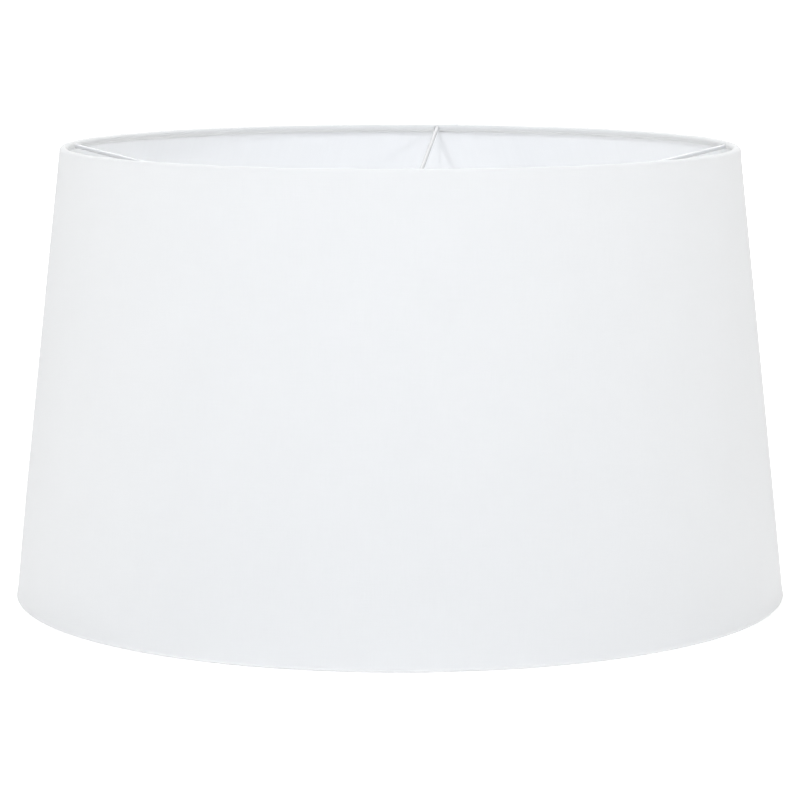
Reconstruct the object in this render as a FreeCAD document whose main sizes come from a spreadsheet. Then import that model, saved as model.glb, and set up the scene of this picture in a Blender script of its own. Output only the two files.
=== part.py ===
"""Tapered hardback lamp shade with rolled edges and a wire spider, in millimetres.

The shade stands on its bottom roll: the origin is on its axis, level with the roll's lowest
point, and +Z is up. Angles are counted from +X, anticlockwise seen from above, so the back is
at 90 degrees.

The wall is a stiff panel with cloth laminated to its outside. Its two ends overlap in a seam:
the outer end keeps the wall's radius, and the inner end steps in under it. At both edges the
cloth goes on past the panel, round a taped wire ring and in under it.
"""

import FreeCAD, Part
import os
import re
from math import atan, cos, degrees, radians, sin

import Sketcher
from FreeCAD import Placement, Rotation, Vector

SIZES = [
    # name, millimetres or degrees, what it is
    ("shade_height", 263, "overall, over both rolled edges"),
    ("top_radius", 197, "outside of the top roll"),
    ("foot_radius", 225, "outside of the bottom roll"),
    ("cover_thickness", 0.35, "textile with its laminating film"),
    ("panel_thickness", 0.4, "stiff sheet behind the textile"),
    ("ring_tape_thickness", 0.15, "double-sided tape round each ring"),
    ("seam_tape_thickness", 0.1, "double-sided tape in the lapped seam"),
    ("ring_wire_radius", 1.5, "both rings"),
    ("layer_gap", 0.05, "between a taped ring and the panel"),
    ("panel_inset", 0.5, "panel's edge short of the middle of the roll"),
    ("seam_turn", 79.5, "where the seam's outer edge is, in degrees"),
    ("seam_slit", 0.3, "between the seam's outer edge and the step under it"),
    ("lap_width", 10, "the inner end under the outer end"),
    ("lap_gap", 1.5, "the inner end is cut off this far short of each roll"),
    ("back_arm_turn", 83, "where the back arm is, in degrees"),
    ("left_arm_turn", 172, "where the left arm is, in degrees"),
    ("front_arm_turn", 263, "where the front arm is, in degrees"),
    ("right_arm_turn", 7, "where the right arm is, in degrees"),
    ("arm_radius", 1.25, "spider wire"),
    ("arm_drop", 38, "from the top ring's wire down to the carrier ring"),
    ("bead_reach", 0.45, "a weld bead stands out this far from the arm"),
    ("bead_edge", 0.15, "a weld bead's thickness where it runs out"),
    ("bead_length", 1.5, "a weld bead runs this far along the arm"),
    ("notch_gap", 0.15, "round a weld bead, in the tape and the roll"),
    ("bore_radius", 21, "carrier ring, for an E27 lampholder"),
    ("seat_width", 10, "from the bore to the inside of the rim"),
    ("pressing_thickness", 1.2, "steel of the carrier ring"),
    ("rim_height", 6, "carrier ring's turned-down rim"),
    ("bend_radius", 2, "outside of the bend between seat and rim"),
]

WORKED_OUT = [
    ("taped_radius", "ring_wire_radius + ring_tape_thickness"),
    ("roll_inside", "taped_radius + (panel_thickness + layer_gap) / 2"),
    ("roll_outside", "roll_inside + cover_thickness"),
    ("ring_offset", "roll_inside - taped_radius"),
    ("top_roll_x", "top_radius - roll_outside"),
    ("top_roll_z", "shade_height - roll_outside"),
    ("top_ring_x", "top_roll_x - ring_offset"),
    ("foot_roll_x", "foot_radius - roll_outside"),
    ("foot_roll_z", "roll_outside"),
    ("foot_ring_x", "foot_roll_x - ring_offset"),
    ("taper", "(foot_roll_x - top_roll_x) / (top_roll_z - foot_roll_z)"),
    ("upright", "1 / sqrt(1 + taper * taper)"),
    ("face_at_zero", "foot_roll_x + roll_outside / upright + foot_roll_z * taper"),
    ("panel_low", "foot_roll_z + panel_inset"),
    ("panel_high", "top_roll_z - panel_inset"),
    ("lap_low", "2 * roll_outside + lap_gap"),
    ("lap_high", "shade_height - 2 * roll_outside - lap_gap"),
    ("skin", "cover_thickness + panel_thickness"),
    ("lap_step", "skin + seam_tape_thickness"),
    ("per_mm", "180 / pi / ((top_radius + foot_radius) / 2)"),
    ("lap_angle", "lap_width * per_mm"),
    ("slit_angle", "seam_slit * per_mm"),
    ("cover_angle", "cover_thickness * per_mm"),
    ("skin_angle", "skin * per_mm"),
    ("rim_inside", "bore_radius + seat_width"),
    ("rim_outside", "rim_inside + pressing_thickness"),
    ("bend_inside", "bend_radius - pressing_thickness"),
    ("hub_z", "top_roll_z - arm_drop"),
    ("hub_low", "hub_z - rim_height / 2"),
    ("hub_high", "hub_z + rim_height / 2"),
    ("seat_low", "hub_high - pressing_thickness"),
    ("arm_run", "top_ring_x - rim_outside"),
    ("arm_length", "sqrt(arm_run * arm_run + arm_drop * arm_drop)"),
    ("arm_slope", "atan(arm_drop / arm_run) / 1 deg"),
    ("bead_radius", "arm_radius + bead_reach"),
    ("notch_reach", "bead_radius + notch_gap"),
    ("notch_depth", "2 * roll_outside"),
]

NAMES = {name for name, *_ in SIZES + WORKED_OUT}
ARM_SIDES = ["back", "left", "front", "right"]
START, END, CENTRE = 1, 2, 3  # points of a sketch's line or arc

doc = FreeCAD.newDocument("LampShade")
sheet = doc.addObject("Spreadsheet::Sheet", "Sizes")


def fill_sheet():
    """Puts the driving sizes, and then what follows from them, into the sheet, a row each."""
    rows = [(name, str(number), note) for name, number, note in SIZES]
    rows += [(name, "=" + formula, "worked out") for name, formula in WORKED_OUT]
    for row, (name, content, note) in enumerate(rows, start=1):
        sheet.set(f"A{row}", name)
        sheet.set(f"B{row}", content)
        sheet.set(f"C{row}", note)
        sheet.setAlias(f"B{row}", name)
    doc.recompute()


def tied(formula):
    """The formula with each of the sheet's names written as other objects know it."""
    return re.sub(r"[a-z_]+", lambda m: "Sizes." + m[0] if m[0] in NAMES else m[0], formula)


def value(formula):
    """What a formula comes to now, for a sketch's first guesses."""
    return float(sheet.evalExpression(formula))


def bind(thing, **formulas):
    """Ties each named property of an object to a formula in the sheet's names."""
    for name, formula in formulas.items():
        thing.setExpression(name, tied(formula))


def named(thing, label):
    thing.Label = label
    return thing


# Sketches of half sections, which turn about the shade's axis.


def half_section(body, name, turn="0"):
    """An empty sketch on the half plane that leaves the axis at the angle turn."""
    plane = next(f for f in body.Origin.OriginFeatures if f.Role == "XZ_Plane")
    sketch = body.newObject("Sketcher::SketchObject", name)
    sketch.AttachmentSupport = [(plane, "")]
    sketch.MapMode = "FlatFace"
    sketch.AttachmentOffset = Placement(Vector(), Rotation(Vector(0, 1, 0), 1))
    sketch.setExpression("AttachmentOffset.Rotation.Angle", tied(turn))
    return sketch


def measure(sketch, formula, kind, *where):
    """Adds a distance or radius to a sketch, tied to the formula."""
    constraint = sketch.addConstraint(Sketcher.Constraint(kind, *where, value(formula)))
    sketch.setExpression(f"Constraints[{constraint}]", tied(formula))


def hold(sketch, element, point, x, z):
    """Holds a point of a sketch at a radius and a height, both formulas."""
    measure(sketch, x, "DistanceX", -1, START, element, point)
    measure(sketch, z, "DistanceY", -1, START, element, point)


def line(sketch, start, end):
    return sketch.addGeometry(Part.LineSegment(Vector(*start, 0), Vector(*end, 0)))


def arc(sketch, x, z, radius, first, last):
    circle = Part.Circle(Vector(x, z, 0), Vector(0, 0, 1), radius)
    return sketch.addGeometry(Part.ArcOfCircle(circle, radians(first), radians(last)))


def outline(sketch, corners):
    """A closed outline of straight lines, with every corner held by two formulas."""
    guesses = [(value(x), value(z)) for x, z in corners]
    sides = [line(sketch, a, b) for a, b in zip(guesses, guesses[1:] + guesses[:1])]
    for side, after, (x, z) in zip(sides, sides[1:] + sides[:1], corners[1:] + corners[:1]):
        sketch.addConstraint(Sketcher.Constraint("Coincident", side, END, after, START))
        hold(sketch, side, END, x, z)


def turned(body, name, sketch, angle="360"):
    """Turns a half section anticlockwise about the axis, through an angle."""
    feature = body.newObject("PartDesign::Revolution", name)
    feature.Profile = sketch
    feature.ReferenceAxis = (sketch, ["V_Axis"])
    bind(feature, Angle=angle)
    doc.recompute()
    return feature


def wall_strip(body, name, turn, angle, outer, inner, low, high):
    """A strip of the wall, between two depths under the cover's face and two heights."""

    def corner(depth, z):
        return (f"face_at_zero - ({z}) * taper - ({depth}) / upright", z)

    sketch = half_section(body, name + "Section", turn)
    outline(sketch, [corner(outer, low), corner(outer, high), corner(inner, high), corner(inner, low)])
    return turned(body, name, sketch, angle)


# The sheet: cover, backing panel and the tape in their seam.


def rolled_face(sketch, end, radius):
    """One face of a rolled margin: an arc over the ring's outside and one tucked in under it.

    Returns both arcs, and which points of theirs are the near one, towards the wall, and the far
    one, towards the cloth's edge.
    """
    lean = degrees(atan(value("taper")))
    over, under = ((lean, 180), (180, 270)) if end == "top" else ((180, 360 + lean), (90, 180))
    near, far = (START, END) if end == "top" else (END, START)
    roll_x, roll_z, ring_x = f"{end}_roll_x", f"{end}_roll_z", f"{end}_ring_x"
    roll = arc(sketch, value(roll_x), value(roll_z), value(radius), *over)
    tuck = arc(sketch, value(ring_x), value(roll_z), value(radius + " - ring_offset"), *under)
    hold(sketch, roll, CENTRE, roll_x, roll_z)
    hold(sketch, tuck, CENTRE, ring_x, roll_z)
    measure(sketch, radius, "Radius", roll)
    for constraint in (
        ("Coincident", roll, far, tuck, near),
        ("Horizontal", roll, far, roll, CENTRE),
        ("Vertical", tuck, far, tuck, CENTRE),
    ):
        sketch.addConstraint(Sketcher.Constraint(*constraint))
    return roll, tuck, near, far


def rolled_section(sketch):
    """The cover cut through the axis: its wall, and its margins rolled over both rings."""
    lean = atan(value("taper"))
    free_ends = {"top": [], "foot": []}
    for radius in ("roll_outside", "roll_inside"):
        near_ends, guesses = [], []
        for end in ("foot", "top"):
            roll, tuck, near, far = rolled_face(sketch, end, radius)
            near_ends.append((roll, near))
            free_ends[end].append((tuck, far))
            out = value(radius)
            x = value(f"{end}_roll_x") + out * cos(lean)
            guesses.append((x, value(f"{end}_roll_z") + out * sin(lean)))
        wall = line(sketch, *guesses)
        for point, near_end in zip((START, END), near_ends):
            sketch.addConstraint(Sketcher.Constraint("Tangent", wall, point, *near_end))
    for (outer, point), (inner, _) in free_ends.values():
        ends = [sketch.getPoint(tuck, point) for tuck in (outer, inner)]
        edge = line(sketch, *[(end.x, end.y) for end in ends])
        sketch.addConstraint(Sketcher.Constraint("Coincident", edge, START, outer, point))
        sketch.addConstraint(Sketcher.Constraint("Coincident", edge, END, inner, point))


def make_cover(notches):
    body = doc.addObject("PartDesign::Body", "CoverSheet")
    sketch = half_section(body, "CoverSection", "seam_turn")
    rolled_section(sketch)
    turned(body, "CoverTurn", sketch, "360 - slit_angle")
    step = "seam_turn - slit_angle - cover_angle"
    under = "lap_step + cover_thickness"
    span = ("lap_low", "lap_high")
    wall_strip(body, "CoverStep", step, "cover_angle", "0", under, *span)
    reach = "cover_angle + slit_angle + lap_angle"
    wall_strip(body, "CoverInnerEnd", step, reach, "lap_step", under, *span)
    return named(cut("Cover", body, notches), "fabric_cover")


def make_panel():
    body = doc.addObject("PartDesign::Body", "Panel")
    whole = ("panel_low", "panel_high")
    span = ("lap_low", "lap_high")
    around = "360 - slit_angle - cover_angle"
    wall_strip(body, "PanelTurn", "seam_turn", around, "cover_thickness", "skin", *whole)
    step = "seam_turn - slit_angle - skin_angle"
    under = "lap_step + skin"
    wall_strip(body, "PanelStep", step, "skin_angle - cover_angle", "cover_thickness", under, *span)
    reach = "skin_angle + slit_angle + lap_angle"
    top_face = "lap_step + cover_thickness"
    wall_strip(body, "PanelInnerEnd", step, reach, top_face, under, *span)
    return named(body, "backing_panel")


def make_seam_tape():
    body = doc.addObject("PartDesign::Body", "SeamTape")
    span = ("lap_low", "lap_high")
    wall_strip(body, "TapeStrip", "seam_turn", "lap_angle", "skin", "lap_step", *span)
    return named(body, "seam_tape")


# The wire frame.


def cut(name, base, tool):
    result = doc.addObject("Part::Cut", name)
    result.Base = base
    result.Tool = tool
    return result


def together(name, pieces):
    result = doc.addObject("Part::MultiFuse", name)
    result.Shapes = pieces
    return result


def hoop(name, radius, height, thickness):
    """A torus round the axis."""
    torus = doc.addObject("Part::Torus", name)
    placed = f"placement(vector(0; 0; {height}); rotation(0; 0; 0))"
    bind(torus, Radius1=radius, Radius2=thickness, Placement=placed)
    return torus


def along_arm(number, distance, extra="rotation(0; 0; 0)", shift="vector(0; 0; 0)"):
    """A place on an arm's middle line, with X along the arm towards the hub and Z upwards."""
    turn = f"{ARM_SIDES[number]}_arm_turn"
    out = f"(top_ring_x - ({distance}) * cos(arm_slope))"
    x, y = (f"{out} * {part}({turn})" for part in ("cos", "sin"))
    z = f"top_roll_z - ({distance}) * sin(arm_slope)"
    at = f"placement(vector({x}; {y}; {z}); rotation({turn} + 180; arm_slope; 0))"
    return f"{at} * placement({shift}; {extra})"


def make_carrier_ring():
    """A pressed steel ring: a flat seat round the bore, and a rim turned down."""
    body = doc.addObject("PartDesign::Body", "CarrierRing")
    sketch = half_section(body, "CarrierSection")
    corners = [
        ("bore_radius", "seat_low"),
        ("bore_radius", "hub_high"),
        ("rim_outside", "hub_high"),
        ("rim_outside", "hub_low"),
        ("rim_inside", "hub_low"),
        ("rim_inside", "seat_low"),
    ]
    outline(sketch, corners)
    pressing = turned(body, "CarrierTurn", sketch)
    bends = [("rim_outside", "hub_high", "bend_radius"), ("rim_inside", "seat_low", "bend_inside")]
    for x, z, radius in bends:
        fillet = body.newObject("PartDesign::Fillet", "Bend")
        fillet.Base = (pressing, [circle_edge(pressing.Shape, value(x), value(z))])
        bind(fillet, Radius=radius)
        doc.recompute()
        pressing = fillet
    return named(body, "carrier_ring")


def circle_edge(shape, radius, height):
    """The name of the shape's edge that is a circle of this radius at this height."""
    for number, edge in enumerate(shape.Edges, start=1):
        if isinstance(edge.Curve, Part.Circle) and abs(edge.Curve.Radius - radius) < 1e-6:
            if abs(edge.Curve.Center.z - height) < 1e-6:
                return f"Edge{number}"
    raise ValueError(f"no circle of radius {radius} at {height}")


def arm_wire(number):
    """An arm's wire, from the middle of the top ring's wire to inside the carrier ring's rim."""
    wire = doc.addObject("Part::Cylinder", "ArmWire")
    placed = along_arm(number, "0", extra="rotation(0; 90; 0)")
    bind(wire, Radius="arm_radius", Height="arm_length + arm_radius", Placement=placed)
    return wire


def bead(number, distance, height, turn):
    """A weld bead: a cone round the arm, widest where it meets the ring or the rim."""
    cone = doc.addObject("Part::Cone", "Bead")
    placed = along_arm(number, distance, extra=f"rotation(0; {turn}; 0)")
    bind(cone, Radius1="bead_radius", Radius2="arm_radius + bead_edge", Height=height, Placement=placed)
    return cone


def arm_notch(number):
    """The room for an arm and its bead in the ring's tape and the cover's rolled margin."""
    box = doc.addObject("Part::Box", "ArmNotch")
    corner = "vector(0; -notch_reach; -notch_depth)"
    sides = {"Length": "notch_depth", "Width": "2 * notch_reach", "Height": "notch_depth + notch_reach"}
    bind(box, Placement=along_arm(number, "0", shift=corner), **sides)
    return box


def build():
    """Makes every piece and returns them all."""
    notches = together("ArmNotches", [arm_notch(number) for number in range(4)])
    rings = {
        "top": hoop("TopRing", "top_ring_x", "top_roll_z", "ring_wire_radius"),
        "foot": hoop("BottomRing", "foot_ring_x", "foot_roll_z", "ring_wire_radius"),
    }
    named(rings["top"], "top_ring")
    named(rings["foot"], "bottom_ring")
    wrapped = hoop("TopWrap", "top_ring_x", "top_roll_z", "taped_radius")
    top_tape = cut("TopTape", cut("TopTapeWhole", wrapped, rings["top"]), notches)
    wrapped = hoop("BottomWrap", "foot_ring_x", "foot_roll_z", "taped_radius")
    foot_tape = cut("BottomTape", wrapped, rings["foot"])

    hub = doc.addObject("Part::Cylinder", "HubBlank")
    below = "hub_z - 2 * rim_height"
    placed = f"placement(vector(0; 0; {below}); rotation(0; 0; 0))"
    bind(hub, Radius="rim_outside", Height="4 * rim_height", Placement=placed)
    frame_ends = together("ArmEnds", [rings["top"], hub])
    wires = [arm_wire(number) for number in range(4)]
    arms = [
        named(cut("Arm", wire, frame_ends), f"spider_arm_{side}")
        for wire, side in zip(wires, ARM_SIDES)
    ]

    frame = together("ArmsAndEnds", [*wires, rings["top"], hub])
    half = "ring_wire_radius / 2"
    at_ring = [bead(number, half, f"{half} + bead_length", "90") for number in range(4)]
    inside = "arm_length + bead_reach"
    at_hub = [bead(number, inside, "bead_reach + bead_length", "-90") for number in range(4)]
    ring_beads = cut("RingBeads", together("RingCones", at_ring), frame)
    hub_beads = cut("HubBeads", together("HubCones", at_hub), frame)
    return [
        make_cover(notches),
        make_panel(),
        make_seam_tape(),
        *rings.values(),
        named(top_tape, "top_ring_tape"),
        named(foot_tape, "bottom_ring_tape"),
        *arms,
        make_carrier_ring(),
        named(ring_beads, "arm_ring_welds"),
        named(hub_beads, "arm_hub_welds"),
    ]


def check(pieces):
    """Stops if any object failed, or any piece is empty or invalid."""
    for thing in doc.Objects:
        if "Invalid" in thing.State or "Error" in thing.State:
            raise RuntimeError(f"{thing.Name} ({thing.Label}) failed: {thing.State}")
    for piece in pieces:
        if piece.Shape.isNull() or not piece.Shape.isValid() or not piece.Shape.Solids:
            raise RuntimeError(f"{piece.Label} isn't a valid solid")


fill_sheet()
PIECES = build()
doc.recompute()
check(PIECES)
os.makedirs("parts", exist_ok=True)
for piece in PIECES:
    piece.Shape.exportStep(f"parts/{piece.Label}.step")
    print(f"{piece.Label}: {len(piece.Shape.Solids)} solid(s), {piece.Shape.Volume:.1f} mm3")
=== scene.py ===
"""White tapered hardback lamp shade with rolled edges and a recessed wire spider, in metres.

The wire frame, tapes and carrier ring are the CAD's own. The cloth cover and the panel behind
it are remade here as what they are: two sheets laminated together, cut as a flat sector, rolled
into a cone and lapped at the back, with the cloth's margins rolled over the taped rings and
snipped where the spider's arms come through.
"""

import math

import bpy
import numpy as np
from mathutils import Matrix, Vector


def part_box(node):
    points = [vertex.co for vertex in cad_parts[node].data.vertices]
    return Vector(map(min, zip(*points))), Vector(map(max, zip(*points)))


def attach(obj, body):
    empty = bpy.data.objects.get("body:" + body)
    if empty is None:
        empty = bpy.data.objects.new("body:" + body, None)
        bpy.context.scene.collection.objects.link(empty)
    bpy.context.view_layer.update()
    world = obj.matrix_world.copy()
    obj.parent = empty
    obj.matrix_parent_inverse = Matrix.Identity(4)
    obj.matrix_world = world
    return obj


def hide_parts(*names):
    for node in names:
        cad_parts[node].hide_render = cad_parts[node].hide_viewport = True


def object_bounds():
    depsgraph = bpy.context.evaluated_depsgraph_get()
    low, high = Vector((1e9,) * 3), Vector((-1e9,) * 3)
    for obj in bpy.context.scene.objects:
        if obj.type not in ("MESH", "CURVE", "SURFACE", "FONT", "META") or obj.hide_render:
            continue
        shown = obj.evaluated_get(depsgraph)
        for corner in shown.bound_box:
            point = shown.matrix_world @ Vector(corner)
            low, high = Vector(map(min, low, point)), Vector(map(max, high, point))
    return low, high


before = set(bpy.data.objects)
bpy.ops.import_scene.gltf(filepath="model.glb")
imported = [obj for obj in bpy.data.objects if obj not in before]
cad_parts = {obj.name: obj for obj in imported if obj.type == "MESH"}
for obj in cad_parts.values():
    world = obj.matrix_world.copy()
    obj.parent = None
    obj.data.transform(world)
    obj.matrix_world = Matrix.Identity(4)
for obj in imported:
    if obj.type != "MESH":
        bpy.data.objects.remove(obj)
cad_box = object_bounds()
MM = 0.001

# Sheets, as the CAD has them.
COVER = 0.35 * MM
PANEL = 0.4 * MM
SEAM_TAPE = 0.1 * MM
LAYER_GAP = 0.05 * MM
SEAM_TURN = math.radians(79.5)
SEAM_SLIT = 0.3 * MM
LAP_WIDTH = 10 * MM
PANEL_INSET = 0.5 * MM
LAP_STEP = COVER + PANEL + SEAM_TAPE

# How the real cloth differs from the drawn one.
TUCK_END = math.radians(300)  # where the margin ends, as an angle round the ring's wire
RAMP = (12 * MM, 3 * MM)  # the sheet steps in under its outer end between these, before the seam
LAP_CLEARANCE = 0.4 * MM  # between the tucked margins and the lap's ends
OVERHANG = 1.5 * MM  # cloth past the panel's outer end
OVERLAP_RISE = 0.42 * MM  # the hem on top of its own other end
OVERLAP_LENGTH = 14 * MM
SNIP_WIDTH = 0.1 * MM
SNIP_SPREAD = 7 * MM  # how far round the margin gives way to an arm
SNIP_LEAST = 0.25 * MM
ROLL_REACH = 5 * MM  # how far down the wall a roll's unevenness fades out
TUCKED_NORMALS = (0.2, -0.9)  # the normal's outward share where the margin starts and is tucked in
BEAD_ROOM = 1.66 * MM  # radius of the way through for an arm and its weld
ROLL_SLACK = 0.14 * MM
SAG = 0.2 * MM
SAG_AWAY = 17 * MM
SAG_REACH = 7 * MM
SAG_SIDES = (1, -1, 1, -1)  # the side of each arm on which the margin hangs
PANEL_SLACK = 0.02 * MM

# How finely the sheets are divided.
WALL_ROWS = 26
PANEL_ROWS = 60
TUCK_ROWS = 9
OVER_ROWS = 17
SNIP_ROWS = 11  # of the rows over the ring, those a snip may reach
BUNCHING = 0.09
COARSE_STEP = 3.1 * MM
FINE_STEPS = np.concatenate([np.arange(0.06, 1.2, 0.19), np.arange(1.2, 9, 0.8)]) * MM
SAME_ROW = 0.0008  # of the wall: rows closer than this to a lap's end give way to it
SAME_COLUMN = 0.05 * MM
TINY = 1e-9


def smooth(edge, other, x):
    """0 at edge, 1 at the other, and smooth between them."""
    t = np.clip((x - edge) / (other - edge), 0, 1)
    return t * t * (3 - 2 * t)


# --- sizes read from the frame ------------------------------------------------------------


class Hoop:
    """A wire ring's radius and height, its wire's radius and its radius over the tape."""

    def __init__(self, ring, tape):
        low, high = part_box(ring)
        self.wire = (high.z - low.z) / 2
        self.radius = max(high.x, high.y) - self.wire
        self.z = (high.z + low.z) / 2
        tape_low, tape_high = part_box(tape)
        self.taped = (tape_high.z - tape_low.z) / 2


TOP = Hoop("top_ring", "top_ring_tape")
FOOT = Hoop("bottom_ring", "bottom_ring_tape")
ROLL = TOP.taped + (PANEL + LAYER_GAP) / 2 + COVER / 2  # middle of the cloth over a ring
TUCK = TOP.taped + COVER / 2  # middle of the cloth in under a ring
ROLL_SHIFT = (PANEL + LAYER_GAP) / 2
HEIGHT = cad_box[1][2]


def turn_of(node):
    """The angle round the shade of a piece that points at its axis."""
    low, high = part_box(node)
    middle = (low + high) / 2
    return math.atan2(middle.y, middle.x)


ARM_TURNS = [turn_of(f"spider_arm_{side}") for side in ("back", "left", "front", "right")]
LEAN = math.atan2(FOOT.radius - TOP.radius, TOP.z - FOOT.z)
OUT = np.array([math.cos(LEAN), math.sin(LEAN)])  # across the wall, outwards, as (r, z)
WALL_NORMAL = OUT[0] * 0.999  # a normal's outward share is above this only on the wall
hub_low, hub_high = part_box("carrier_ring")
HUB_RADIUS = (hub_high.x - hub_low.x) / 2
ARM_SLOPE = math.atan2(TOP.z - (hub_high.z + hub_low.z) / 2, TOP.radius - HUB_RADIUS)


# --- the section of the sheets, from the top margin's edge down to the bottom one's ---------


def wall_shares(count):
    """Shares of the way down the wall, closer together near the rolls."""
    share = np.linspace(0, 1, count)
    return share - BUNCHING * np.sin(2 * math.pi * share)


def arc_points(centre, radius, start, end, count):
    """Points on an arc in the (r, z) plane, and the outward direction at each."""
    turns = np.linspace(start, end, count)
    outward = np.stack([np.cos(turns), np.sin(turns)], 1)
    return np.array(centre) + radius * outward, outward


LAP_LOW = FOOT.z + TUCK + COVER / 2 + LAP_CLEARANCE
LAP_HIGH = TOP.z - TUCK - COVER / 2 - LAP_CLEARANCE


def with_lap_ends(share, start, end):
    """Shares of the way from start to end, with a row at each end of the lap as well."""
    lap = [(z - start[1]) / (end[1] - start[1]) for z in (LAP_HIGH, LAP_LOW)]
    kept = [s for s in share if min(abs(s - place) for place in lap) > SAME_ROW]
    return np.array(sorted([*kept, *lap]))


class Section:
    """Rows of the cloth's middle surface: place (r, z), outward normal and distance along."""

    def __init__(self):
        half = math.pi
        top_ring, top_roll = (TOP.radius, TOP.z), (TOP.radius + ROLL_SHIFT, TOP.z)
        foot_ring, foot_roll = (FOOT.radius, FOOT.z), (FOOT.radius + ROLL_SHIFT, FOOT.z)
        top_tuck = arc_points(top_ring, TUCK, TUCK_END, half, TUCK_ROWS)
        top_over = arc_points(top_roll, ROLL, half, LEAN, OVER_ROWS)
        foot_over = arc_points(foot_roll, ROLL, LEAN, -half, OVER_ROWS)
        foot_tuck = arc_points(foot_ring, TUCK, half, 2 * half - TUCK_END, TUCK_ROWS)
        start, end = top_over[0][-1], foot_over[0][0]
        share = with_lap_ends(wall_shares(WALL_ROWS + 2)[1:-1], start, end)
        wall = start + share[:, None] * (end - start), np.tile(OUT, (len(share), 1))
        top_over = top_over[0][1:], top_over[1][1:]
        foot_tuck = foot_tuck[0][1:], foot_tuck[1][1:]
        pieces = [top_tuck, top_over, wall, foot_over, foot_tuck]
        self.at = np.concatenate([p[0] for p in pieces])
        self.normal = np.concatenate([p[1] for p in pieces])
        steps = np.linalg.norm(np.diff(self.at, axis=0), axis=1)
        self.along = np.concatenate([[0], np.cumsum(steps)])
        self.r, self.z = self.at.T
        counts = np.cumsum([len(p[0]) for p in pieces])
        number = np.arange(len(self.r))
        self.top_margin = number < counts[0] + SNIP_ROWS
        self.wall_start = self.along[counts[1] - 1]


# --- the sheet's plan, from the seam's outer end round to its inner end ----------------------


def plan_columns(start, fine_places):
    """Distances round the top to the lap's end, closer together near the places given."""
    coarse = np.arange(start, LAP_END, COARSE_STEP)
    extra = [np.array([start, LAP_END])]
    for place in fine_places:
        extra += [place + FINE_STEPS, place - FINE_STEPS]
    columns = np.unique(np.round(np.concatenate([coarse, *extra]), 8))
    columns = columns[(columns >= start) & (columns <= LAP_END)]
    keep = np.concatenate([[True], np.diff(columns) > SAME_COLUMN])
    keep[-1] = True
    return np.unique(np.concatenate([columns[keep], [SEAM_END]]))


AROUND = 2 * math.pi * TOP.radius
SEAM_END = AROUND - SEAM_SLIT
LAP_END = AROUND + LAP_WIDTH
ARM_PLACES = [((turn - SEAM_TURN) % (2 * math.pi)) * TOP.radius for turn in ARM_TURNS]


def waves(seed, lowest, highest, size):
    """A random wave that closes on itself round the shade: a function of the angle."""
    random = np.random.default_rng(seed)
    numbers = np.arange(lowest, highest + 1)
    phases = random.uniform(0, 2 * math.pi, len(numbers))
    sizes = random.uniform(0.4, 1, len(numbers))
    sizes *= size / math.sqrt((sizes**2).sum() / 2)

    def wave(turn, shift=0.0):
        total = np.zeros(np.broadcast(turn, shift).shape)
        for number, phase, amount in zip(numbers, phases, sizes):
            total += amount * np.cos(number * turn + phase + shift)
        return total

    return wave


wall_wave = waves(3, 2, 7, 0.22 * MM)
roll_wave = waves(5, 7, 48, 0.07 * MM)
edge_wave = waves(8, 5, 30, 0.06 * MM)
tuck_wave = waves(13, 60, 150, 0.035 * MM)


def wall_shift(turn, z, place):
    """How far the laminated wall stands off its cone: nothing at the rings and the seam."""
    between = smooth(FOOT.z, FOOT.z + 60 * MM, z) * smooth(TOP.z, TOP.z - 60 * MM, z)
    from_seam = np.minimum(np.abs(place), np.abs(place - AROUND))
    return wall_wave(turn, 4 * z) * between * smooth(12 * MM, 60 * MM, from_seam)


def in_lap_rows(z):
    """Which points are low and high enough to be in the lap."""
    room = 0.01 * MM
    return (z > LAP_LOW - room) & (z < LAP_HIGH + room)


def lap_depth(place, z):
    """How far the sheet has stepped in under its own outer end."""
    into = smooth(AROUND - RAMP[0], AROUND - RAMP[1], place)
    clear_of_rolls = smooth(FOOT.z + 0.5 * MM, LAP_LOW, z) * smooth(TOP.z - 0.5 * MM, LAP_HIGH, z)
    return LAP_STEP * into * clear_of_rolls


def thick_sheet(name, middle, normal, mask, thickness, flat):
    """A closed mesh from a grid of middle points, its normals and which of its cells are cloth."""
    columns, rows = mask.shape
    index = np.arange((columns + 1) * (rows + 1)).reshape(columns + 1, rows + 1)
    count = index.size
    outer, inner = index, index + count
    points = np.concatenate([
        (middle + normal * thickness / 2).reshape(-1, 3),
        (middle - normal * thickness / 2).reshape(-1, 3),
    ])
    padded = np.pad(mask, 1)
    here = padded[1:-1, 1:-1]
    i, j = np.nonzero(here)
    a, b, c, d = (i, j), (i, j + 1), (i + 1, j + 1), (i + 1, j)
    faces = [
        np.stack([outer[a], outer[b], outer[c], outer[d]], 1),
        np.stack([inner[a], inner[d], inner[c], inner[b]], 1),
    ]
    sides = [(padded[:-2, 1:-1], (0, 0), (0, 1)), (padded[1:-1, 2:], (0, 1), (1, 1)),
             (padded[2:, 1:-1], (1, 1), (1, 0)), (padded[1:-1, :-2], (1, 0), (0, 0))]
    for beyond, first, second in sides:
        i, j = np.nonzero(here & ~beyond)
        p, q = (i + first[0], j + first[1]), (i + second[0], j + second[1])
        faces.append(np.stack([outer[q], outer[p], inner[p], inner[q]], 1))
    faces = np.concatenate(faces)
    used, faces = np.unique(faces, return_inverse=True)
    faces = faces.reshape(-1, 4)
    mesh = bpy.data.meshes.new(name)
    mesh.from_pydata(points[used].tolist(), [], faces.tolist())
    uv = mesh.uv_layers.new(name="flat")
    both = np.concatenate([flat.reshape(-1, 2)] * 2)[used]
    uv.data.foreach_set("uv", both[faces.reshape(-1)].reshape(-1).astype(np.float32))
    mesh.shade_smooth()
    mesh.set_sharp_from_angle(angle=math.radians(50))
    mesh.update()
    piece = bpy.data.objects.new(name, mesh)
    bpy.context.scene.collection.objects.link(piece)
    return piece


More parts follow.
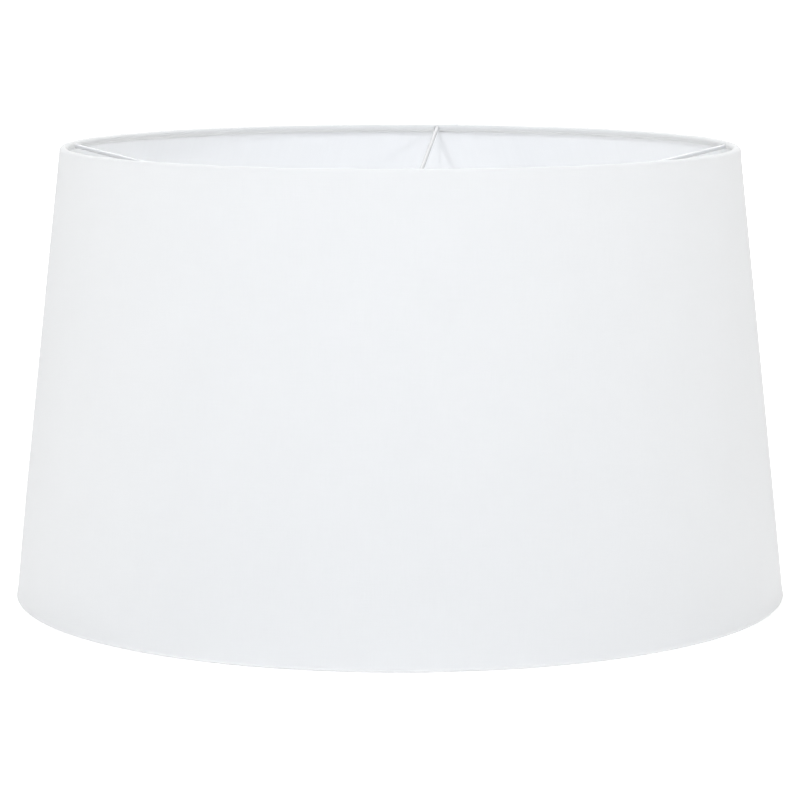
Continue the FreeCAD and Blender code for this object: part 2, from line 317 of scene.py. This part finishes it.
def flat_places(place, along, section):
    """Where each grid point lies in the flat cut, a sector of a wide ring."""
    to_wall = (TOP.radius + ROLL * OUT[0]) / math.sin(LEAN)
    from_apex = to_wall + along - section.wall_start
    turn = place / TOP.radius * math.sin(LEAN)
    turn = turn - turn.mean()
    return np.stack([from_apex * np.sin(turn), from_apex * np.cos(turn) - to_wall], -1)


def cells(place, in_lap):
    """Which cells of a sheet's grid are there: all up to the seam, and past it the lap's."""
    past_seam = place[:-1, :-1] >= SEAM_END - TINY
    return ~past_seam | (in_lap[:-1, :-1] & in_lap[:-1, 1:])


def cloth_shift(place, turn, z, nr, nz):
    """How far the cloth stands off its drawn section, along the section's normal."""
    upper = z > HEIGHT / 2
    near_top = smooth(TOP.z - ROLL_REACH, TOP.z, z)
    near_foot = smooth(FOOT.z + ROLL_REACH, FOOT.z, z)
    rolled = np.where(nr < WALL_NORMAL, 1, np.where(upper, near_top, near_foot))
    tucked = smooth(*TUCKED_NORMALS, nr)
    lift = ROLL_SLACK + roll_wave(turn, np.where(upper, 0, 2)) + edge_wave(turn, nz)
    shift = wall_shift(turn, z, place) + rolled * np.maximum(lift, 0)
    shift += tucked * np.abs(tuck_wave(turn, 3 * nz))
    for arm, side in zip(ARM_PLACES, SAG_SIDES):
        from_sag = (place - arm) * side - SAG_AWAY
        shift += SAG * tucked * upper * np.exp(-((from_sag / SAG_REACH) ** 2))
    over = smooth(OVERLAP_LENGTH, 0, place) * rolled
    return shift + OVERLAP_RISE * over * (place < OVERLAP_LENGTH)


def snip(place, turn, section, row):
    """The points' turns once each arm has pushed the snipped margin aside, and the cells left."""
    r, z = section.r[row], section.z[row]
    below_axis = (TOP.z - z) * math.cos(ARM_SLOPE) - (TOP.radius - r) * math.sin(ARM_SLOPE)
    inward_or_below = (r < TOP.radius) | (z < TOP.z)
    snipped = section.top_margin[row] & (below_axis > -BEAD_ROOM) & inward_or_below
    aside = np.sqrt(np.maximum(BEAD_ROOM**2 - below_axis**2, 0))
    aside = np.where(below_axis > 0, np.maximum(aside, SNIP_LEAST), aside) * snipped
    cut_rows = snipped[1:, 1:] & snipped[1:, :-1]
    mask = np.ones(cut_rows.shape, bool)
    for arm in ARM_PLACES:
        away = place - arm
        turn = turn + aside * np.exp(-((away / SNIP_SPREAD) ** 2)) * np.sign(away) / TOP.radius
        middle_away = (away[1:, 1:] + away[:-1, 1:]) / 2
        mask &= ~((np.abs(middle_away) < SNIP_WIDTH / 2) & cut_rows)
    return turn, mask


def make_cover():
    """The cloth: margins, rolls and wall in one sheet, lapped and snipped at the arms."""
    section = Section()
    place = plan_columns(-OVERHANG, [*ARM_PLACES, 0, SEAM_END, LAP_END])
    place, row = np.meshgrid(place, np.arange(len(section.r)), indexing="ij")
    r, z = section.r[row], section.z[row]
    nr, nz = section.normal[row, 0], section.normal[row, 1]
    turn = SEAM_TURN + place / TOP.radius

    shift = cloth_shift(place, turn, z, nr, nz)
    above_foot = z > FOOT.z  # the foot's roll stays level, because the shade stands on it
    depth = lap_depth(place, z)
    on_wall = (nr > WALL_NORMAL) & in_lap_rows(z)
    turn, mask = snip(place, turn, section, row)
    mask &= cells(place, on_wall)
    r = r + shift * nr - depth * OUT[0]
    z = z + above_foot * shift * nz - depth * OUT[1]

    middle = np.stack([r * np.cos(turn), r * np.sin(turn), z], -1)
    normal = np.stack([nr * np.cos(turn), nr * np.sin(turn), nz], -1)
    flat = flat_places(place, section.along[row], section)
    piece = thick_sheet("cloth_cover", middle, normal, mask, COVER, flat)
    return piece, section


def make_panel():
    """The stiff sheet behind the cloth, which ends short of both rings."""
    section = Section()
    place = plan_columns(0, [0, SEAM_END, LAP_END])
    low, high = FOOT.z + PANEL_INSET, TOP.z - PANEL_INSET
    start = np.array([TOP.radius + ROLL_SHIFT, TOP.z]) + (ROLL - (COVER + PANEL) / 2) * OUT
    end = np.array([FOOT.radius + ROLL_SHIFT, FOOT.z]) + (ROLL - (COVER + PANEL) / 2) * OUT
    share = with_lap_ends(wall_shares(PANEL_ROWS), start, end)
    rows = start + share[:, None] * (end - start)
    rows[:, 1] = np.clip(rows[:, 1], low, high)
    rows[:, 0] = start[0] + (start[1] - rows[:, 1]) * math.tan(LEAN)
    place, row = np.meshgrid(place, np.arange(len(rows)), indexing="ij")
    r, z = rows[row, 0], rows[row, 1]
    turn = SEAM_TURN + place / TOP.radius
    shift = wall_shift(turn, z, place) - lap_depth(place, z)
    mask = cells(place, in_lap_rows(z))
    r, z = r + shift * OUT[0], z + shift * OUT[1]
    middle = np.stack([r * np.cos(turn), r * np.sin(turn), z], -1)
    normal = np.stack([OUT[0] * np.cos(turn), OUT[0] * np.sin(turn), OUT[1] + 0 * r], -1)
    along = (start[1] - rows[row, 1]) / math.cos(LEAN)
    flat = flat_places(place, along + section.wall_start, section)
    return thick_sheet("stiff_panel", middle, normal, mask, PANEL - PANEL_SLACK, flat)


# --- materials --------------------------------------------------------------------------------


class Recipe:
    """A material's nodes, made and joined by short calls."""

    def __init__(self, name):
        self.material = bpy.data.materials.new(name)
        self.material.use_nodes = True
        self.tree = self.material.node_tree
        self.shader = self.tree.nodes["Principled BSDF"]

    def node(self, kind, inputs=(), **settings):
        made = self.tree.nodes.new(kind)
        for key, setting in settings.items():
            setattr(made, key, setting)
        for key, given in dict(inputs).items():
            if isinstance(given, bpy.types.NodeSocket):
                self.tree.links.new(given, made.inputs[key])
            else:
                made.inputs[key].default_value = given
        return made

    def math(self, operation, a, b=0.0):
        return self.node("ShaderNodeMath", {0: a, 1: b}, operation=operation).outputs[0]

    def noise(self, place, scale, detail=2.0, roughness=0.5):
        inputs = {"Vector": place, "Scale": scale, "Detail": detail, "Roughness": roughness}
        return self.node("ShaderNodeTexNoise", inputs).outputs["Fac"]

    def stretched(self, place, scale):
        return self.node("ShaderNodeMapping", {"Vector": place, "Scale": scale}).outputs[0]

    def tint(self, factor, dark, light):
        ramp = self.node("ShaderNodeValToRGB", {"Fac": factor})
        ramp.color_ramp.elements[0].color = (*dark, 1)
        ramp.color_ramp.elements[1].color = (*light, 1)
        return ramp.outputs["Color"]

    def finish(self, color, roughness, height=None, depth=0.0, **constants):
        """Joins up the shader; constants are its other inputs, with _ for a space."""
        if isinstance(color, bpy.types.NodeSocket):
            self.tree.links.new(color, self.shader.inputs["Base Color"])
        else:
            self.shader.inputs["Base Color"].default_value = (*color, 1)
        if isinstance(roughness, bpy.types.NodeSocket):
            self.tree.links.new(roughness, self.shader.inputs["Roughness"])
        else:
            self.shader.inputs["Roughness"].default_value = roughness
        for key, amount in constants.items():
            self.shader.inputs[key.replace("_", " ")].default_value = amount
        if height is not None:
            given = {"Height": height, "Distance": depth, "Strength": 1.0}
            bump = self.node("ShaderNodeBump", given)
            self.tree.links.new(bump.outputs[0], self.shader.inputs["Normal"])
        return self.material


def textile():
    """Fine plain weave with uneven threads, laid out on the flat cut so that it runs straight."""
    pitch = 0.42 * MM
    m = Recipe("white_textile")
    place = m.node("ShaderNodeUVMap", uv_map="flat").outputs[0]
    wander = m.noise(place, 260.0, 1.0)
    shift = m.math("MULTIPLY", m.math("SUBTRACT", wander, 0.5), 0.3 * MM)
    parts = m.node("ShaderNodeSeparateXYZ", {0: place})
    x = m.math("MULTIPLY", m.math("ADD", parts.outputs[0], shift), math.pi / pitch)
    y = m.math("MULTIPLY", m.math("SUBTRACT", parts.outputs[1], shift), math.pi / pitch)
    wave_x, wave_y = m.math("SINE", x), m.math("SINE", y)
    warp, weft = m.math("ABSOLUTE", wave_x), m.math("ABSOLUTE", wave_y)
    over = m.math("ADD", m.math("MULTIPLY", m.math("MULTIPLY", wave_x, wave_y), 0.5), 0.5)
    weave = m.math("ADD", m.math("MULTIPLY", warp, over),
                   m.math("MULTIPLY", weft, m.math("SUBTRACT", 1.0, over)))
    slub_across = m.noise(m.stretched(place, (60.0, 2200.0, 1.0)), 1.0, 1.0)
    slub_down = m.noise(m.stretched(place, (2200.0, 60.0, 1.0)), 1.0, 1.0)
    slubs = m.math("ADD", slub_across, slub_down)
    cloud = m.noise(place, 22.0, 3.0)
    height = m.math("ADD", weave, m.math("MULTIPLY", slubs, 0.9))
    # Painted shade: the weave term makes the cloth lighter on the threads' crowns and darker in
    # the gaps between them; the slubs and cloud terms are the threads' own uneven tone.
    shade = m.math("ADD", m.math("MULTIPLY", weave, 0.25),
                   m.math("ADD", m.math("MULTIPLY", slubs, 0.25), m.math("MULTIPLY", cloud, 0.25)))
    color = m.tint(shade, (0.69, 0.69, 0.685), (0.755, 0.755, 0.75))
    roughness = m.math("ADD", 0.78, m.math("MULTIPLY", weave, 0.12))
    return m.finish(color, roughness, height, 0.05 * MM, Sheen_Weight=0.12, Sheen_Roughness=0.5)


def panel_plastic():
    """Calendered white sheet, faintly grained, with streaks down its length."""
    m = Recipe("white_panel")
    place = m.node("ShaderNodeUVMap", uv_map="flat").outputs[0]
    grain = m.noise(place, 2600.0, 2.0)
    streaks = m.noise(m.stretched(place, (420.0, 6.0, 1.0)), 1.0, 2.0)
    color = m.tint(streaks, (0.885, 0.89, 0.895), (0.91, 0.915, 0.92))
    roughness = m.math("ADD", 0.42, m.math("MULTIPLY", grain, 0.16))
    height = m.math("ADD", grain, m.math("MULTIPLY", streaks, 0.6))
    return m.finish(color, roughness, height, 0.02 * MM)


def powder_coat(name, light):
    """White powder coat: slightly uneven and softly glossy."""
    m = Recipe(name)
    place = m.node("ShaderNodeTexCoord").outputs["Object"]
    peel = m.noise(place, 900.0, 2.0)
    worn = m.noise(place, 60.0, 3.0)
    color = m.tint(worn, (light - 0.03,) * 3, (light,) * 3)
    roughness = m.math("ADD", 0.3, m.math("MULTIPLY", peel, 0.15))
    return m.finish(color, roughness, peel, 0.03 * MM)


def tape_film():
    """Clear double-sided tape: thin, off-white over the wire, wrinkled across."""
    m = Recipe("clear_tape")
    place = m.node("ShaderNodeTexCoord").outputs["Object"]
    wrinkles = m.noise(place, 450.0, 3.0)
    color = m.tint(wrinkles, (0.7, 0.68, 0.6), (0.78, 0.76, 0.7))
    return m.finish(color, 0.28, wrinkles, 0.04 * MM)


def dress():
    """Makes both sheets and gives every CAD node that stays its finish."""
    cover, section = make_cover()
    cover.data.materials.append(textile())
    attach(cover, "root")
    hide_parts("fabric_cover")

    panel = make_panel()
    panel.data.materials.append(panel_plastic())
    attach(panel, "root")
    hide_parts("backing_panel")

    coat = powder_coat("white_wire", 0.66)
    pressing = powder_coat("white_pressing", 0.6)
    film = tape_film()
    for name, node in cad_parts.items():
        finish = film if "tape" in name else coat
        if name == "carrier_ring":
            finish = pressing
        for place in node.material_slots:
            place.material = finish


# --- floor, light and camera --------------------------------------------------------------------

# Where each wall of the room lies and how brightly it shines.
ROOM_WALLS = [
    ((-0.79, -0.61, 0), (1.02, 1.01, 0.985)),
    ((1, -0.09, 0), (0.61, 0.60, 0.575)),
    ((0, -1, 0), (0.04, 0.10, 0.22)),
]
BACKDROP = 1.1  # what the camera sees behind the table
TABLE_REACH = 30.0
TABLE_FADE = (0.7, 3.0)  # the table's glow grows between these distances from the shade
TABLE_GLOW = (0.42, 1.05)
LIGHT_DISTANCE = 3.2
CAMERA_LENS = 151.97
CAMERA_PLACE = (0, -1.9628, 0.3932)
CAMERA_TILT = math.radians(90 - 8.12)


def area_light(name, direction, size, power, color):
    """A round lamp that the camera doesn't see, aimed at the upper part of the shade."""
    data = bpy.data.lights.new(name, "AREA")
    data.shape = "DISK"
    data.size, data.energy, data.color = size, power, color
    light = bpy.data.objects.new(name, data)
    bpy.context.scene.collection.objects.link(light)
    aim = Vector((0, 0, HEIGHT * 0.8))
    light.location = aim + Vector(direction).normalized() * LIGHT_DISTANCE
    light.rotation_euler = (light.location - aim).to_track_quat("Z", "Y").to_euler()
    light.visible_camera = False
    return light


def make_floor():
    """A lit white table, brighter further off, which is why nothing throws a shadow on it."""
    mesh = bpy.data.meshes.new("floor")
    signs = [(-1, -1), (1, -1), (1, 1), (-1, 1)]
    corners = [(x * TABLE_REACH, y * TABLE_REACH, 0) for x, y in signs]
    mesh.from_pydata(corners, [], [(0, 1, 2, 3)])
    floor = bpy.data.objects.new("floor", mesh)
    bpy.context.scene.collection.objects.link(floor)
    m = Recipe("lit_table")
    place = m.node("ShaderNodeTexCoord").outputs["Object"]
    distance = m.node("ShaderNodeVectorMath", {0: place}, operation="LENGTH").outputs["Value"]
    fade = {"From Min": TABLE_FADE[0], "From Max": TABLE_FADE[1]}
    shine = {"To Min": TABLE_GLOW[0], "To Max": TABLE_GLOW[1]}
    glow = m.node("ShaderNodeMapRange", {"Value": distance, **fade, **shine}).outputs[0]
    m.tree.links.new(glow, m.shader.inputs["Emission Strength"])
    white = (1.0, 1.0, 1.0, 1)
    paint = m.finish((0.85, 0.85, 0.85), 0.9, Specular_IOR_Level=0.0, Emission_Color=white)
    mesh.materials.append(paint)


def make_room():
    """Soft light from all sides, most of it from the left and right, and a white backdrop."""
    world = bpy.data.worlds.new("room")
    bpy.context.scene.world = world
    world.use_nodes = True
    nodes, links = world.node_tree.nodes, world.node_tree.links

    def node(kind, operation=None, *given):
        made = nodes.new(kind)
        if operation:
            made.operation = operation
        for number, value in enumerate(given):
            if isinstance(value, bpy.types.NodeSocket):
                links.new(value, made.inputs[number])
            elif value is not None:
                made.inputs[number].default_value = value
        return made

    direction = nodes.new("ShaderNodeTexCoord").outputs["Generated"]
    total = None
    for axis, color in ROOM_WALLS:
        facing = node("ShaderNodeVectorMath", "DOT_PRODUCT", direction, axis).outputs["Value"]
        share = node("ShaderNodeMath", "MAXIMUM", facing, 0.0).outputs[0]
        glow = node("ShaderNodeVectorMath", "SCALE", color)
        links.new(share, glow.inputs["Scale"])
        glow = glow.outputs[0]
        if total is not None:
            glow = node("ShaderNodeVectorMath", "ADD", total, glow).outputs[0]
        total = glow
    seen = nodes.new("ShaderNodeLightPath").outputs["Is Camera Ray"]
    backdrop = nodes.new("ShaderNodeMix")
    backdrop.data_type = "VECTOR"
    links.new(seen, backdrop.inputs[0])
    vector_in = [i for i in backdrop.inputs if i.type == "VECTOR"]
    links.new(total, vector_in[-2])
    vector_in[-1].default_value = (BACKDROP,) * 3
    vector_out = [o for o in backdrop.outputs if o.type == "VECTOR"][0]
    links.new(vector_out, nodes["Background"].inputs["Color"])
    nodes["Background"].inputs["Strength"].default_value = 1.0


def make_camera():
    data = bpy.data.cameras.new("camera")
    data.lens = CAMERA_LENS
    data.clip_end = 100
    camera = bpy.data.objects.new("camera", data)
    bpy.context.scene.collection.objects.link(camera)
    camera.location = CAMERA_PLACE
    camera.rotation_euler = (CAMERA_TILT, 0, 0)
    bpy.context.scene.camera = camera
    bpy.context.scene.view_settings.view_transform = "Standard"


def studio():
    make_floor()
    make_room()
    area_light("key", (-0.56, -1, 1), 0.35, 17, (0.97, 0.99, 1.0))
    area_light("fill", (1.6, -1, 0.9), 0.35, 15.5, (0.99, 0.99, 0.98))
    area_light("top", (0, -0.09, 1), 0.9, 40, (0.99, 0.995, 1.0))
    area_light("rim", (0, 1, 1.2), 0.9, 55, (1.0, 1.0, 1.0))
    make_camera()


studio()
dress()
